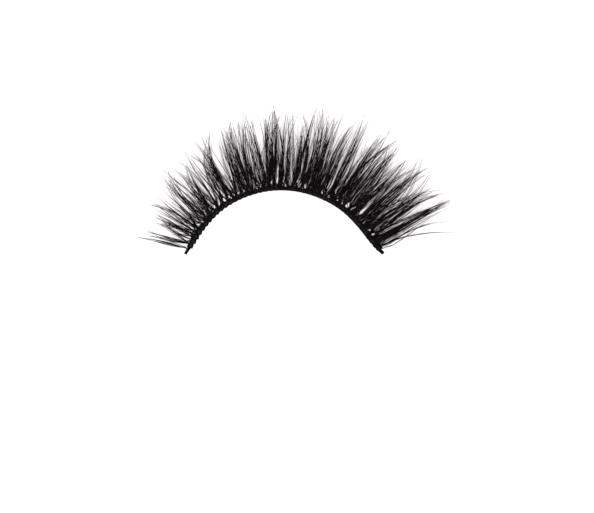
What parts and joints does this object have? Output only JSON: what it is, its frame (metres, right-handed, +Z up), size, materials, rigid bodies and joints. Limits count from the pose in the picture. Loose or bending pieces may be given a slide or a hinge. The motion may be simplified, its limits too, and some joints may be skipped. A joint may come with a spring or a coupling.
{
  "type": "false eyelash strip",
  "caption": "Arched cotton band with a knotted row of short crossing lashes and a row of long curled lashes, short at the inner corner and long at the outer.",
  "frame": {"origin": "on the surface that the strip lies on, in the middle of its footprint", "axes": "+X towards the outer corner of the eye, +Y the way the lashes at the top of the arch point, +Z up off the surface, which the glue face rests on"},
  "size_m": [0.0418, 0.02, 0.007],
  "materials": {
    "band_cotton": "black knotted cotton soaked in glossy black glue",
    "lower_hair": "near-black fine synthetic hair, satin",
    "upper_hair": "near-black fine synthetic hair, satin"
  },
  "bodies": {
    "root": {"band": "band_cotton", "lower_lashes": "lower_hair", "upper_lashes": "upper_hair"}
  },
  "joints": []
}
